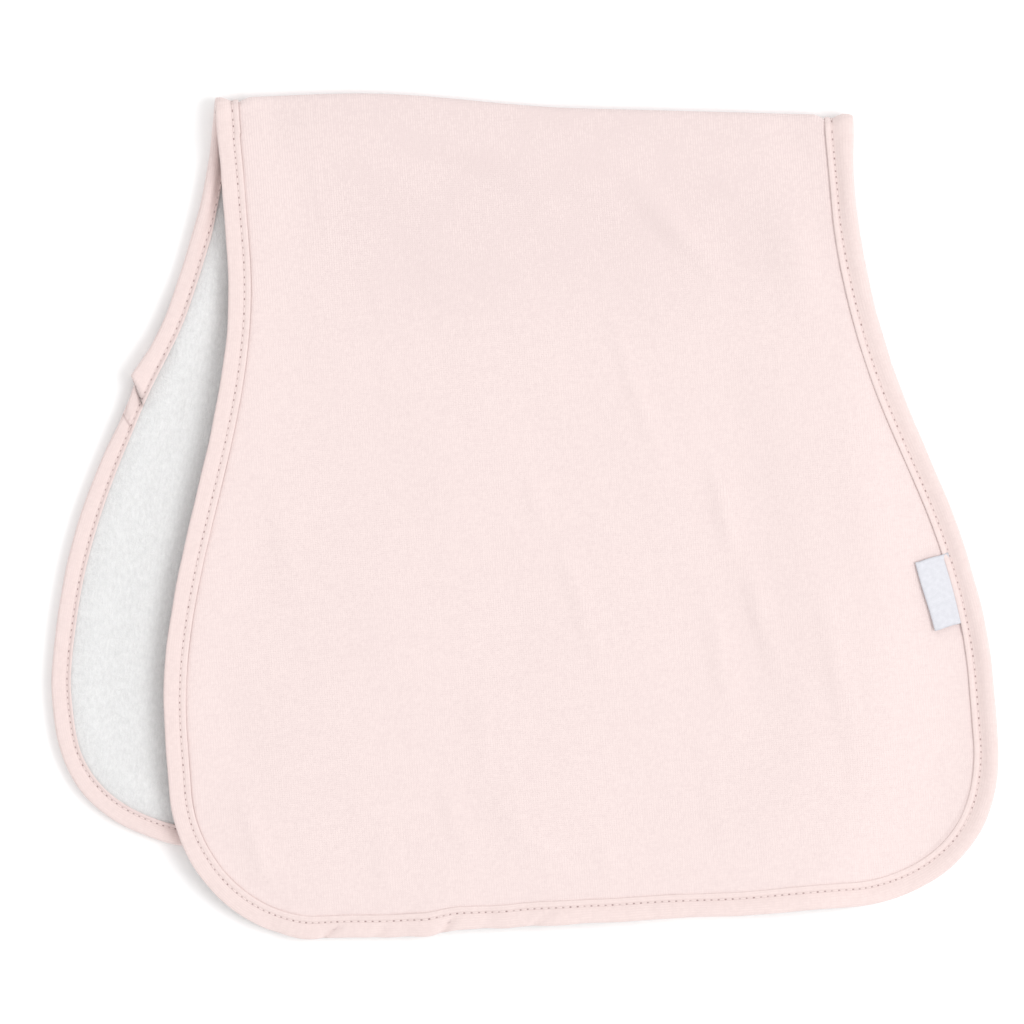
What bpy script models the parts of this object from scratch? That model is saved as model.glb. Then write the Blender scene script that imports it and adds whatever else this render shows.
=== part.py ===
"""A burp cloth: an hourglass of knit backed with fleece, bound all round, folded once and laid flat.

+X runs along the fold, +Y points from the free edges to the fold, +Z is up. The pale pink outer
panel is outside, so the white fleece lining shows only where the lower half peeks out on the left.
A point of the flat cloth is (s, t, w): s along its length from the fold, positive on the upper half,
t across it, positive to the right, and w through it, positive to the pink side.
Every size is in millimetres and becomes metres when a mesh is made.
"""

import math

import bmesh
import bpy
import numpy as np

METRE = 0.001

# Outline of the flat cloth, measured from its own middle
HALF_LENGTH = 239.5
WAIST_HALF_WIDTH = 94.6
UPPER_HALF_WIDTH = 124.6
LOWER_HALF_WIDTH = 121.2
FLARE_START = 30.0
FLARE_END = 176.0
CORNER_RADIUS = 47.0
END_TILT = 0.013
OUTLINE_STEP = 1.0
CORNER_STEP_DEGREES = 1.5

# The fold, which crosses the cloth a little off its middle and a little askew
FOLD_OFFSET = 6.0
SKEW = math.radians(6.0)
BEND_DEPTH = 5.0
BEND_RISE = 8.4
EDGE_BEND_DEPTH = 4.0
EDGE_BEND_RISE = 6.8
EDGE_BEND_REACH = 32.0
BULGE_REACH = 26.0
UPPER_BULGE_REACH = 52.0
BULGE_MIDDLE = -46.0
BULGE_HALF_LENGTH = 59.0
BULGE_OUT = 2.8
TUCK_REACH = 20.0

# Layers through the cloth
GAP = 0.3
FACE_THICK = 1.0
LINING_THICK = 1.6
LINING_SEWN_THICK = 1.0
BINDING_THICK = 1.0
BINDING_WIDTH = 6.9
BINDING_ROUND = 1.2
LABEL_THICK = 0.4
FACE_IN = GAP / 2
FACE_OUT = FACE_IN + FACE_THICK
LINING_IN = -GAP / 2
LINING_OUT = LINING_IN - LINING_THICK
LINING_SEWN_OUT = LINING_IN - LINING_SEWN_THICK
LEAF_IN = FACE_OUT + GAP
LEAF_OUT = LEAF_IN + BINDING_THICK

# Heights of the seam plane, w = 0, above the surface that the cloth lies on
FLAT_HEIGHT = FACE_OUT
EDGE_HEIGHT = LEAF_OUT
EDGE_RISE_REACH = 20.0
STACK_HEIGHT = 6.2
OVER_BINDING_HEIGHT = 8.1
CLIMB_START = -32.0
CLIMB_LENGTH = 20.0
DROOP_START = 2.0
DROOP_LENGTH = 26.0
LEFT_EDGE_LIFT = 1.4
LEFT_EDGE_REACH = 24.0

# Ends of the binding, lapped on the lower half's left edge
LAP_START = 87.0
LAP_LENGTH = 9.0
LAP_SLANT = 1.06
LAP_RAMP = 5.0
LAP_LIFT = BINDING_THICK + GAP
LAP_REACH = LAP_LENGTH + LAP_RAMP

# Label, tucked in on the upper half's right edge
LABEL_PLACE = 155.0
LABEL_LENGTH = 21.5
LABEL_REACH = 15.9
LABEL_FOLD_ROUND = 0.4
LABEL_CLEARANCE = 0.2
LABEL_STATIONS = 4

# Mesh
ROWS_IN_HALF_BEND = 4
ROWS_AFTER_BEND = (8.0, 12.0, 17.0, 24.0)
UPPER_ROW_STEP = 10.0
LOWER_ROW_STEP = 14.0
COLUMNS = 20
RIM_INSET = 1.4
RING_INSETS = (7.3, RIM_INSET)
GRID_INSET = 12.5
UNEVEN_INSET = GRID_INSET / 2.0
END_BOW_REACH = 60.0
SLOPE_STEP = 0.05
TABLE_SNAP = 0.004
SHARP_ANGLE = math.radians(40.0)

# Soft creases of the upper half: ends as distances along and away from the fold
CREASE_FADE = 1.3
CREASES = [
    dict(start=(17, 14), end=(70, 50), rise=0.9, width=9.0),
    dict(start=(-44, 17), end=(-4, 20), rise=-0.7, width=10.0),
    dict(start=(4, 22), end=(44, 52), rise=-0.7, width=9.0),
    dict(start=(68, 18), end=(90, 46), rise=-0.8, width=11.0),
    dict(start=(22, 56), end=(36, 98), rise=-0.6, width=6.0),
    dict(start=(34, 98), end=(60, 114), rise=-0.7, width=6.0),
    dict(start=(55, 108), end=(82, 180), rise=-0.8, width=7.0),
    dict(start=(-3, 104), end=(25, 164), rise=-0.6, width=7.0),
    dict(start=(-13, 128), end=(-11, 194), rise=-0.6, width=6.0),
    dict(start=(59, 144), end=(61, 180), rise=-0.5, width=6.0),
    dict(start=(89, 140), end=(100, 190), rise=-0.6, width=7.0),
    dict(start=(119, 178), end=(122, 214), rise=-0.5, width=7.0),
    dict(start=(-84, 205), end=(-72, 233), rise=-0.8, width=7.0),
    dict(start=(-68, 203), end=(-33, 198), rise=-0.7, width=8.0),
    dict(start=(-24, 194), end=(-11, 226), rise=-0.6, width=6.0),
    dict(start=(-9, 206), end=(9, 231), rise=-0.7, width=8.0),
]

# Puckers that the binding pulls into the upper half's end, by their place along the fold
PUCKERS = [
    dict(place=-62.0, width=9.0, lift=1.2, out=0.9),
    dict(place=-25.0, width=7.0, lift=0.9, out=0.5),
    dict(place=-7.0, width=6.0, lift=-0.6, out=-0.4),
    dict(place=14.0, width=10.0, lift=0.6, out=0.3),
]
PUCKER_REACH = 16.0


def smooth(value):
    """0 below 0, 1 above 1, and an S between them."""
    value = np.clip(value, 0.0, 1.0)
    return value * value * (3.0 - 2.0 * value)


def hump(value):
    """A soft hump: 1 at 0, 0 from 1 outwards."""
    return 1.0 - smooth(np.abs(value))


def half_width(s):
    """Half the cloth's width at a distance from the fold: a waist that flares to both ends."""
    from_middle = np.abs(s - FOLD_OFFSET)
    share = np.clip((from_middle - FLARE_START) / (FLARE_END - FLARE_START), 0.0, 1.0)
    wide = np.where(s > FOLD_OFFSET, UPPER_HALF_WIDTH, LOWER_HALF_WIDTH)
    return WAIST_HALF_WIDTH + (wide - WAIST_HALF_WIDTH) * (1.0 - np.cos(math.pi * share)) / 2.0


def tilt_at(s, t):
    """How much the upper half's end runs out of square: its right side is a little longer."""
    return END_TILT * t * smooth(s / HALF_LENGTH)


def inset_of(s, t):
    """How far a point of the flat cloth lies inside its outline, negative outside."""
    s = s - tilt_at(s, t)
    from_middle = np.abs(s - FOLD_OFFSET)
    width = half_width(s)
    slope = (half_width(s + 1.0) - half_width(s - 1.0)) / 2.0
    to_side = (width - np.abs(t)) / np.sqrt(1.0 + slope**2)
    to_end = HALF_LENGTH - from_middle
    past_s = from_middle - (HALF_LENGTH - CORNER_RADIUS)
    past_t = np.abs(t) - (width - CORNER_RADIUS)
    in_corner = CORNER_RADIUS - np.hypot(np.maximum(past_s, 0.0), np.maximum(past_t, 0.0))
    return np.where((past_s > 0) & (past_t > 0), in_corner, np.minimum(to_side, to_end))


def along_and_away(s, t):
    """Distances along the fold and away from it, the second positive on the upper half."""
    along = s * math.sin(SKEW) + t * math.cos(SKEW)
    away = s * math.cos(SKEW) - t * math.sin(SKEW)
    return along, away


def outside_lower_half(along, away):
    """How far a point of the upper half lies past the lower half's outline in plan."""
    s = away * math.cos(SKEW) - along * math.sin(SKEW)
    t = along * math.cos(SKEW) + away * math.sin(SKEW)
    return -inset_of(-s, t)


def creases_at(along, away):
    """Height that the soft creases add to the upper half."""
    height = np.zeros_like(along)
    for crease in CREASES:
        start = np.array(crease["start"], float)
        way = np.array(crease["end"], float) - start
        length = np.linalg.norm(way)
        run = ((along - start[0]) * way[0] + (away - start[1]) * way[1]) / length
        side = ((along - start[0]) * way[1] - (away - start[1]) * way[0]) / length
        fade = hump((2.0 * run / length - 1.0) / CREASE_FADE)
        height += crease["rise"] * fade * hump(side / crease["width"])
    return height


def puckers_at(s, along, key):
    """Lift or outward pull of the puckers along the upper half's end."""
    near_end = smooth((PUCKER_REACH - (HALF_LENGTH + FOLD_OFFSET - s)) / PUCKER_REACH)
    total = np.zeros_like(s)
    for pucker in PUCKERS:
        total += pucker[key] * hump((along - pucker["place"]) / pucker["width"])
    return total * near_end


def at_edge(inset, reach):
    """1 where the binding holds the edge, falling to 0 at the reach."""
    return smooth((reach - inset) / (reach - RING_INSETS[0]))


def lower_height(s, t, inset):
    """Seam plane of the lower half: flat, raised by the binding at its edge and at the lap."""
    edge = at_edge(inset, EDGE_RISE_REACH)
    lap_middle = -(LAP_START + LAP_LENGTH / 2.0)
    lap = smooth((2.0 * LAP_REACH - np.abs(s - lap_middle)) / LAP_REACH) * (t < 0)
    return FLAT_HEIGHT + (EDGE_HEIGHT - FLAT_HEIGHT + LAP_LIFT * lap) * edge


def upper_height(s, t, along, away, inset):
    """Seam plane of the upper half: over the lower one, over its binding, then down to the surface."""
    outside = outside_lower_half(along, away)
    climb = smooth((outside - CLIMB_START) / CLIMB_LENGTH)
    droop = smooth((outside - DROOP_START) / DROOP_LENGTH)
    height = STACK_HEIGHT + (OVER_BINDING_HEIGHT - STACK_HEIGHT) * climb
    height += (EDGE_HEIGHT - OVER_BINDING_HEIGHT) * droop
    lift = LEFT_EDGE_LIFT * smooth((LEFT_EDGE_REACH - inset) / LEFT_EDGE_REACH)
    height += lift * (t < 0) * (1.0 - climb)
    uneven = creases_at(along, away) * smooth((inset - UNEVEN_INSET) / GRID_INSET)
    return height + (uneven + puckers_at(s, along, "lift")) * (1.0 - droop)


def seam_plane(s, t):
    """The folded cloth's w = 0 surface, as an array of points."""
    along, away = along_and_away(s, t)
    inset = inset_of(s, t)
    pressed = at_edge(inset, EDGE_BEND_REACH)
    depth = BEND_DEPTH + (EDGE_BEND_DEPTH - BEND_DEPTH) * pressed
    rise = BEND_RISE + (EDGE_BEND_RISE - BEND_RISE) * pressed
    thick = FACE_OUT + (LEAF_OUT - FACE_OUT) * at_edge(inset, EDGE_RISE_REACH)
    run = np.maximum(np.abs(away) - depth, 0.0)
    turn = np.clip(away / depth, -1.0, 1.0) * math.pi / 2.0
    bulge = hump((along - BULGE_MIDDLE) / BULGE_HALF_LENGTH)
    reach = np.where(away > 0, UPPER_BULGE_REACH, BULGE_REACH)
    pulled = BULGE_OUT * bulge * (1.0 - smooth(run / reach))
    tucked = thick * (1.0 - smooth(run / TUCK_REACH))
    outward = np.where(run > 0, np.abs(away), depth * (1.0 - np.cos(turn))) + tucked - pulled
    outward += puckers_at(s, along, "out")
    low = lower_height(s, t, inset)
    top = low + rise
    sunk = smooth(run / BULGE_REACH)
    high = top + (upper_height(s, t, along, np.abs(away), inset) - top) * sunk
    in_bend = low + rise * (1.0 + np.sin(turn)) / 2.0
    height = np.where(run > 0, np.where(away > 0, high, low), in_bend)
    return np.stack([along, -outward, height], axis=-1)


def lay(s, t, w):
    """Points of the folded cloth from points of the flat one."""
    s, t, w = np.broadcast_arrays(*(np.asarray(value, float) for value in (s, t, w)))
    along_s = seam_plane(s + SLOPE_STEP, t) - seam_plane(s - SLOPE_STEP, t)
    along_t = seam_plane(s, t + SLOPE_STEP) - seam_plane(s, t - SLOPE_STEP)
    normal = np.cross(along_t, along_s)
    normal /= -np.linalg.norm(normal, axis=-1, keepdims=True)
    points = seam_plane(s, t) + w[..., None] * normal
    points[points[..., 2] < TABLE_SNAP, 2] = 0.0
    return points


class Outline:
    """The flat cloth's outline, by arc length from the fold's right end round the upper half."""

    def __init__(self):
        upper, lower = HALF_LENGTH + FOLD_OFFSET, FOLD_OFFSET - HALF_LENGTH
        centres = {
            "upper_right": (upper - CORNER_RADIUS, UPPER_HALF_WIDTH - CORNER_RADIUS),
            "upper_left": (upper - CORNER_RADIUS, CORNER_RADIUS - UPPER_HALF_WIDTH),
            "lower_left": (lower + CORNER_RADIUS, CORNER_RADIUS - LOWER_HALF_WIDTH),
            "lower_right": (lower + CORNER_RADIUS, LOWER_HALF_WIDTH - CORNER_RADIUS),
        }
        right = np.arange(centres["lower_right"][0], centres["upper_right"][0], OUTLINE_STEP)
        left = np.arange(centres["lower_left"][0], centres["upper_left"][0], OUTLINE_STEP)[::-1]
        parts = [
            np.stack([right, half_width(right)], axis=1),
            self.corner(centres["upper_right"], 90.0),
            self.end(upper, centres["upper_right"][1], centres["upper_left"][1]),
            self.corner(centres["upper_left"], 0.0),
            np.stack([left, -half_width(left)], axis=1),
            self.corner(centres["lower_left"], -90.0),
            self.end(lower, centres["lower_left"][1], centres["lower_right"][1]),
            self.corner(centres["lower_right"], 180.0),
        ]
        points = np.concatenate(parts)
        points[:, 0] += tilt_at(*points.T)
        first = np.argmax(along_and_away(*points.T)[1][: len(right)] >= 0.0)
        points = np.roll(points, -first, axis=0)
        self.points = np.concatenate([points, points[:1]])
        steps = np.linalg.norm(np.diff(self.points, axis=0), axis=1)
        self.arcs = np.concatenate([[0.0], np.cumsum(steps)])
        self.length = self.arcs[-1]
        ways = np.roll(points, -1, axis=0) - np.roll(points, 1, axis=0)
        inward = np.stack([-ways[:, 1], ways[:, 0]], axis=1)
        inward *= -np.sign(inward[0] @ points[0])
        inward /= np.linalg.norm(inward, axis=1, keepdims=True)
        self.inward = np.concatenate([inward, inward[:1]])
        self.corners = [self.arc_of_corner(s, t) for s, t in centres.values()]
        on_left = self.points[:, 1] < 0
        crossing = np.where(on_left, np.abs(along_and_away(*self.points.T)[1]), np.inf)
        self.fold_left = self.arcs[np.argmin(crossing)]

    @staticmethod
    def corner(centre, start_degrees):
        angles = np.radians(start_degrees - np.arange(0.0, 90.0, CORNER_STEP_DEGREES))
        return np.array(centre) + CORNER_RADIUS * np.stack([np.cos(angles), np.sin(angles)], axis=1)

    @staticmethod
    def end(s, t_from, t_to):
        across = np.linspace(t_from, t_to, int(abs(t_to - t_from) / OUTLINE_STEP), endpoint=False)
        return np.stack([np.full_like(across, s), across], axis=1)

    def arc_of_corner(self, s, t):
        """Arc length at the middle of the round corner about (s, t)."""
        aim = np.array([s - FOLD_OFFSET, t])
        aim = np.array([s, t]) + CORNER_RADIUS * np.sign(aim) / math.sqrt(2.0)
        return self.arcs[np.argmin(np.linalg.norm(self.points - aim, axis=1))]

    def arc_at(self, s, right):
        """Arc length where the right or left side passes a distance from the fold."""
        side = (self.points[:, 1] > 0) == right
        return self.arcs[np.argmin(np.where(side, np.abs(self.points[:, 0] - s), np.inf))]

    def at(self, arc, inset):
        """Flat points at these arc lengths, moved in by the inset."""
        arc = np.mod(arc, self.length)
        point = [np.interp(arc, self.arcs, self.points[:, axis]) for axis in (0, 1)]
        inward = [np.interp(arc, self.arcs, self.inward[:, axis]) for axis in (0, 1)]
        return point[0] + inset * inward[0], point[1] + inset * inward[1]


def row_distances(reach, step):
    """Distances of the rows from the fold on one half, close together at the bend."""
    bend = [BEND_DEPTH * k / ROWS_IN_HALF_BEND for k in range(1, ROWS_IN_HALF_BEND + 1)]
    near = bend + list(ROWS_AFTER_BEND)
    rest = np.linspace(near[-1], reach, int((reach - near[-1]) / step) + 1)[1:]
    return np.array(near + list(rest))


def side_arcs(distances, length):
    """Arc lengths from the fold along one side: equal to the distances near the bend, stretched later."""
    straight = distances / math.cos(SKEW)
    return straight + (length - straight[-1]) * (distances / distances[-1]) ** 2


def stations(outline):
    """Arc lengths of the rows' ends on both sides and of the columns' ends on both ends."""
    corner_ur, corner_ul, corner_ll, corner_lr = outline.corners
    upper_right = corner_ur
    upper_left = outline.fold_left - corner_ul
    lower_left = corner_ll - outline.fold_left
    lower_right = outline.length - corner_lr
    upper = row_distances((upper_right + upper_left) / 2.0 * math.cos(SKEW), UPPER_ROW_STEP)
    lower = row_distances((lower_right + lower_left) / 2.0 * math.cos(SKEW), LOWER_ROW_STEP)
    right = np.concatenate([-side_arcs(lower, lower_right)[::-1], [0.0], side_arcs(upper, upper_right)])
    left = np.concatenate([side_arcs(lower, lower_left)[::-1], [0.0], -side_arcs(upper, upper_left)])
    upper_end = np.linspace(corner_ul, corner_ur, COLUMNS + 1)
    lower_end = np.linspace(corner_ll, corner_lr, COLUMNS + 1)
    return right, outline.fold_left + left, upper_end, lower_end


def all_round(right, left, upper_end, lower_end):
    """The stations in one loop, from the right end of the first row."""
    return np.concatenate([right, upper_end[-2::-1], left[-2::-1], lower_end[1:-1]])


def sheet_grid(outline):
    """Flat points of a sheet's grid, its border's indices in one loop, and their arc lengths."""
    right, left, upper_end, lower_end = stations(outline)
    share = np.linspace(0.0, 1.0, COLUMNS + 1)
    right_points = np.stack(outline.at(right, GRID_INSET), axis=1)
    left_points = np.stack(outline.at(left, GRID_INSET), axis=1)
    grid = left_points[:, None] * (1 - share)[None, :, None] + right_points[:, None] * share[None, :, None]
    for end_arcs, row in ((upper_end, -1), (lower_end, 0)):
        bow = np.stack(outline.at(end_arcs, GRID_INSET), axis=1) - grid[row]
        for index in range(len(grid)):
            away = abs(right[index] - right[row])
            grid[index] += bow * (max(0.0, 1.0 - away / END_BOW_REACH) ** 2)
    rows, columns = len(right), COLUMNS + 1
    index = np.arange(rows * columns).reshape(rows, columns)
    loop = np.concatenate([index[:, -1], index[-1, -2::-1], index[-2::-1, 0], index[0, 1:-1]])
    return grid, loop, all_round(right, left, upper_end, lower_end)


def sheet_mesh(outline, near_w, far_w):
    """Corners and faces of a sheet between two functions of the inset, near_w under far_w."""
    grid, loop, arcs = sheet_grid(outline)
    rows, columns = grid.shape[:2]
    flat = [grid.reshape(-1, 2)]
    loops = [loop]
    for inset in RING_INSETS:
        loops.append(sum(len(part) for part in flat) + np.arange(len(arcs)))
        flat.append(np.stack(outline.at(arcs, inset), axis=1))
    flat = np.concatenate(flat)
    inset = inset_of(flat[:, 0], flat[:, 1])
    layers = [lay(flat[:, 0], flat[:, 1], w(inset)) for w in (near_w, far_w)]
    cells = []
    for row in range(rows - 1):
        for column in range(columns - 1):
            first = row * columns + column
            cells.append((first, first + 1, first + columns + 1, first + columns))
    for inner, outer in zip(loops, loops[1:]):
        for k in range(len(inner)):
            after = (k + 1) % len(inner)
            cells.append((inner[k], outer[k], outer[after], inner[after]))
    count = len(flat)
    halves = [(a, b, c) for a, b, c, _ in cells] + [(a, c, d) for a, _, c, d in cells]
    faces = [half[::-1] for half in halves]
    faces += [tuple(corner + count for corner in half) for half in halves]
    rim = loops[-1]
    for k in range(len(rim)):
        after = (k + 1) % len(rim)
        faces.append((rim[k], rim[after], rim[after] + count, rim[k] + count))
    return np.concatenate(layers), faces


def sweep_mesh(sections, insets):
    """Corners and faces of a closed section carried along stations, capped at both ends.

    Each cell is cut from its deeper corner at one station to its shallower one at the next, as the
    panels' rings are, so that faces lying on each other stay parallel.
    """
    count = len(insets)
    faces = [tuple(range(count))[::-1]]
    for station in range(len(sections) - 1):
        base = station * count
        for k in range(count):
            after = (k + 1) % count
            here, there = (base + k, base + after), (base + count + k, base + count + after)
            if insets[k] >= insets[after]:
                faces += [(here[0], here[1], there[1]), (here[0], there[1], there[0])]
            else:
                faces += [(here[0], here[1], there[0]), (here[1], there[1], there[0])]
    last = (len(sections) - 1) * count
    faces.append(tuple(range(last, last + count)))
    return np.concatenate(sections), faces


def add_object(name, points, faces, colour, roughness):
    """One named object with its own material, from points in millimetres."""
    mesh = bpy.data.meshes.new(name)
    mesh.from_pydata((points * METRE).tolist(), [], [tuple(int(k) for k in face) for face in faces])
    shape = bmesh.new()
    shape.from_mesh(mesh)
    bmesh.ops.recalc_face_normals(shape, faces=shape.faces[:])
    shape.to_mesh(mesh)
    shape.free()
    mesh.shade_smooth()
    mesh.set_sharp_from_angle(angle=SHARP_ANGLE)
    material = bpy.data.materials.new(name)
    material.use_nodes = True
    shader = material.node_tree.nodes["Principled BSDF"]
    shader.inputs["Base Color"].default_value = (*colour, 1.0)
    shader.inputs["Roughness"].default_value = roughness
    shader.inputs["Metallic"].default_value = 0.0
    mesh.materials.append(material)
    made = bpy.data.objects.new(name, mesh)
    bpy.context.scene.collection.objects.link(made)
    return made


def lining_back(inset):
    """The fleece is pressed thin under the binding and full beyond it."""
    full = smooth((inset - RING_INSETS[0]) / (GRID_INSET - RING_INSETS[0]))
    return LINING_SEWN_OUT + (LINING_OUT - LINING_SEWN_OUT) * full


def face_panel(outline):
    points, faces = sheet_mesh(outline, lambda inset: FACE_IN, lambda inset: FACE_OUT)
    return points, faces, (0.93, 0.80, 0.77), 0.95


def lining_panel(outline):
    points, faces = sheet_mesh(outline, lining_back, lambda inset: LINING_IN)
    return points, faces, (0.86, 0.86, 0.86), 1.0


def binding_section(lift):
    """The binding's folded section as (inset, w), moved out by the lift where its ends lap."""
    out, inner = LEAF_OUT + lift, LEAF_IN + lift
    wall, back = RIM_INSET - GAP - lift, -lift
    shoulder, flat = back + BINDING_ROUND, LEAF_OUT - BINDING_ROUND
    return [
        (BINDING_WIDTH, out), (shoulder, out), (back, flat), (back, -flat), (shoulder, -out),
        (BINDING_WIDTH, -out), (BINDING_WIDTH, -inner), (wall, -inner), (wall, inner), (BINDING_WIDTH, inner),
    ]


def binding(outline):
    """One strip round the whole edge; its far end climbs over its start and is cut on the slant."""
    start = outline.arc_at(-LAP_START, right=False)
    past_start = np.sort(np.mod(all_round(*stations(outline)) - start, outline.length))
    between = past_start[(past_start > LAP_RAMP) & (past_start < outline.length - LAP_RAMP - 1.0)]
    runs = [0.0, *between, outline.length - LAP_RAMP, outline.length - LAP_RAMP / 2.0]
    runs += [outline.length - GAP, outline.length + LAP_LENGTH / 2.0, outline.length + LAP_LENGTH]
    sections = []
    for run in runs:
        lift = LAP_LIFT * float(smooth((run - outline.length + LAP_RAMP) / (LAP_RAMP - GAP)))
        section = np.array(binding_section(lift))
        slant = LAP_SLANT * max(0.0, run - outline.length - LAP_LENGTH / 2.0) / (LAP_LENGTH / 2.0)
        s, t = outline.at(start + run + slant * section[:, 0], section[:, 0])
        sections.append(lay(s, t, section[:, 1]))
    points, faces = sweep_mesh(sections, [inset for inset, _ in binding_section(0.0)])
    return points, faces, (0.93, 0.79, 0.76), 0.95


def label(outline):
    """A short ribbon folded on its left side, its two ends meeting the binding."""
    root = BINDING_WIDTH + GAP + LABEL_CLEARANCE
    low = FACE_OUT + GAP + LABEL_CLEARANCE
    high = low + 2.0 * LABEL_THICK + GAP
    middle, tip = (low + high) / 2.0, LABEL_REACH
    inside = tip - LABEL_THICK
    turn = LABEL_FOLD_ROUND
    section = np.array([
        (root, low), (tip - turn, low), (tip, middle), (tip - turn, high), (root, high),
        (root, high - LABEL_THICK), (inside - GAP / 2.0, high - LABEL_THICK), (inside, middle),
        (inside - GAP / 2.0, low + LABEL_THICK), (root, low + LABEL_THICK),
    ])
    middle_arc = outline.arc_at(LABEL_PLACE, right=True)
    sections = []
    half = LABEL_LENGTH / 2.0
    for arc in np.linspace(middle_arc - half, middle_arc + half, LABEL_STATIONS):
        s, t = outline.at(arc, section[:, 0])
        sections.append(lay(s, t, section[:, 1]))
    points, faces = sweep_mesh(sections, section[:, 0])
    return points, faces, (0.78, 0.80, 0.84), 0.6


def clear_scene():
    for old in list(bpy.data.objects):
        bpy.data.objects.remove(old)


def main():
    clear_scene()
    outline = Outline()
    pieces = {piece.__name__: piece(outline) for piece in (face_panel, lining_panel, binding, label)}
    points = np.concatenate([piece[0] for piece in pieces.values()])
    middle = (points.min(axis=0) + points.max(axis=0)) / 2.0
    origin = np.array([middle[0], middle[1], 0.0])
    for name, (corners, faces, colour, roughness) in pieces.items():
        add_object(name, corners - origin, faces, colour, roughness)


main()
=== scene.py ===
"""The looks of a folded burp cloth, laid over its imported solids.

The cloth is an hourglass of pale pink jersey backed with white fleece, bound all round, folded once
and laid flat. It is seen from straight above. A point of the flat cloth is (s, t, w): s along its
length from the fold, positive on the upper half, t across it, positive to the right, and w through
it, positive to the pink side. Sizes of the cloth are in millimetres and become metres when a mesh is
made; sizes in a material are in millimetres too.
"""

import math

import bmesh
import bpy
import numpy as np
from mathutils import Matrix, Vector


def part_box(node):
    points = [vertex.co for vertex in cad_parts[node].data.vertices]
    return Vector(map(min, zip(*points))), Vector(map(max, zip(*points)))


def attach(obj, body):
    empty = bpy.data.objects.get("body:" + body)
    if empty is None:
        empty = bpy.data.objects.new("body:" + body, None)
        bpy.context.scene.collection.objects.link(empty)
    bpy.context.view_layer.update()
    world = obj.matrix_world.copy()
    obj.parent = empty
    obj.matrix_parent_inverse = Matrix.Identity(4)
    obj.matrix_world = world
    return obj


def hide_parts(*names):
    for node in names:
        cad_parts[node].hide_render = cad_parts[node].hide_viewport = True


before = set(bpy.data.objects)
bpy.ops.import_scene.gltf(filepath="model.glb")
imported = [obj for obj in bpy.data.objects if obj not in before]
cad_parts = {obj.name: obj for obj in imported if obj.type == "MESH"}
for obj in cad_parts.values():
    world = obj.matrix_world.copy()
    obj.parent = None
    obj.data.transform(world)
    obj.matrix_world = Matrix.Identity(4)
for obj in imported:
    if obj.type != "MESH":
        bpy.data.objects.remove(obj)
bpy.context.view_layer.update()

METRE = 0.001

# Outline of the flat cloth, measured from its own middle
HALF_LENGTH = 239.5
WAIST_HALF_WIDTH = 94.6
UPPER_HALF_WIDTH = 124.6
LOWER_HALF_WIDTH = 121.2
FLARE_START = 30.0
FLARE_END = 176.0
CORNER_RADIUS = 47.0
END_TILT = 0.013
OUTLINE_STEP = 1.0
CORNER_STEP_DEGREES = 1.5

# Places, as (s, t), where the real edge lies a little inside its even outline (or outside, below 0)
EDGE_SHIFTS = [
    dict(place=(-42.0, -96.0), reach=32.0, inward=0.75),
    dict(place=(-76.0, -100.0), reach=26.0, inward=1.25),
    dict(place=(-197.0, -119.0), reach=20.0, inward=0.9),
    dict(place=(-222.0, -106.0), reach=26.0, inward=-1.0),
    dict(place=(243.0, -80.0), reach=22.0, inward=1.0),
    dict(place=(245.0, -41.0), reach=12.0, inward=0.9),
    dict(place=(245.0, -18.0), reach=26.0, inward=0.6),
    dict(place=(246.0, 45.0), reach=28.0, inward=-0.7),
    dict(place=(231.0, 113.0), reach=30.0, inward=-1.2),
    dict(place=(93.0, 104.0), reach=46.0, inward=1.0),
]
SHIFT_HELD = 8.0
SHIFT_FADE = 25.0

# The fold, which crosses the cloth a little off its middle and a little askew
FOLD_OFFSET = 6.0
SKEW = math.radians(6.0)
BEND_DEPTH = 5.0
BEND_RISE = 8.4
EDGE_BEND_DEPTH = 4.0
EDGE_BEND_RISE = 6.8
EDGE_BEND_REACH = 32.0
BULGE_REACH = 26.0
UPPER_BULGE_REACH = 52.0
BULGE_MIDDLE = -46.0
BULGE_HALF_LENGTH = 59.0
BULGE_OUT = 2.8
TUCK_REACH = 20.0
EDGE_TUCK_REACH = 10.5
FOLD_SINK = 2.3
FOLD_SINK_REACH = 15.0

# Layers through the cloth
GAP = 0.3
FACE_THICK = 1.0
LINING_THICK = 1.6
LINING_SEWN_THICK = 1.0
BINDING_THICK = 1.0
BINDING_WIDTH = 6.9
FACE_IN = GAP / 2
FACE_OUT = FACE_IN + FACE_THICK
LINING_IN = -GAP / 2
LINING_OUT = LINING_IN - LINING_THICK
LINING_SEWN_OUT = LINING_IN - LINING_SEWN_THICK
LEAF_IN = FACE_OUT + GAP
LEAF_OUT = LEAF_IN + BINDING_THICK

# Heights of the seam plane, w = 0, above the surface that the cloth lies on
FLAT_HEIGHT = FACE_OUT
EDGE_HEIGHT = LEAF_OUT
EDGE_RISE_REACH = 20.0
STACK_HEIGHT = 6.2
OVER_BINDING_HEIGHT = 7.3
CLIMB_START = -32.0
CLIMB_LENGTH = 20.0
DROOP_START = 2.0
DROOP_LENGTH = 30.0
LEFT_EDGE_LIFT = 1.3
LEFT_EDGE_REACH = 24.0

# Ends of the binding, lapped on the lower half's left edge
LAP_START = 87.0
LAP_LENGTH = 9.7
LAP_SLANT = 1.06
LAP_RAMP = 5.0
LAP_LIFT = BINDING_THICK + GAP
LAP_TUCK = [(0.0, 0.0), (9.0, 0.2), (17.0, 1.1), (20.5, 1.7), (24.5, 1.1), (33.0, 0.5), (45.0, 0.0)]
LAP_CORNER = 1.3
LAP_CORNER_REACH = 10.0
LAP_CREASE = dict(run=20.5, slant=0.7, width=1.0, depth=0.55)
LAP_REACH = LAP_LENGTH + LAP_RAMP

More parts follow.
